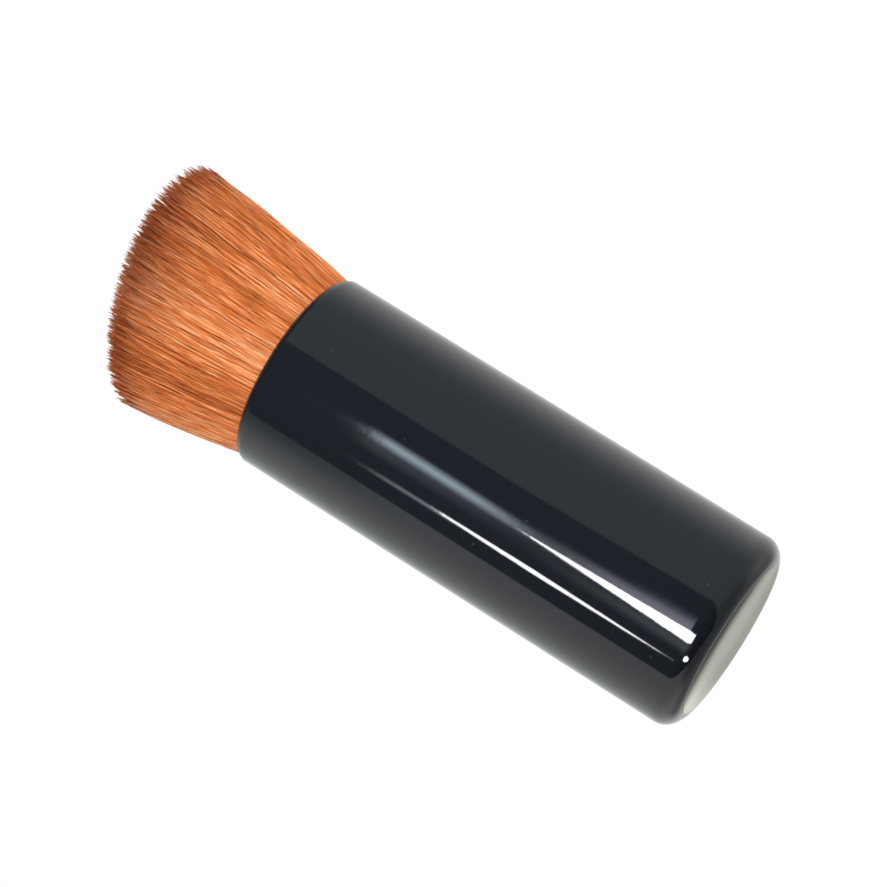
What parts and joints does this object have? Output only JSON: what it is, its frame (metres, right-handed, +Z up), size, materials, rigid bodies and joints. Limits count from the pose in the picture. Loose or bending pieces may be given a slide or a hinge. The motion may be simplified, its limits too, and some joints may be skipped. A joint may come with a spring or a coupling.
{
  "type": "foundation brush",
  "caption": "Short foundation brush: glossy black cylindrical handle with a rounded base and a dense copper-brown tuft cut to a slanted flat top.",
  "frame": {"origin": "centre of the flat base face that the brush stands on", "axes": "+Z up the handle's axis towards the hair, +X towards the long side of the slanted tuft"},
  "size_m": [0.0266, 0.0269, 0.0775],
  "materials": {
    "handle": "mirror gloss black resin",
    "adhesive": "set epoxy",
    "cup": "plain drawn",
    "resin": "set root resin",
    "thread": "waxed cotton",
    "bristles": "satin synthetic filament"
  },
  "bodies": {
    "root": {"handle_body": "handle", "setting_adhesive": "adhesive", "ferrule_cup": "cup", "root_resin": "resin", "binding_thread": "thread", "bristle_tuft": "bristles"}
  },
  "joints": []
}
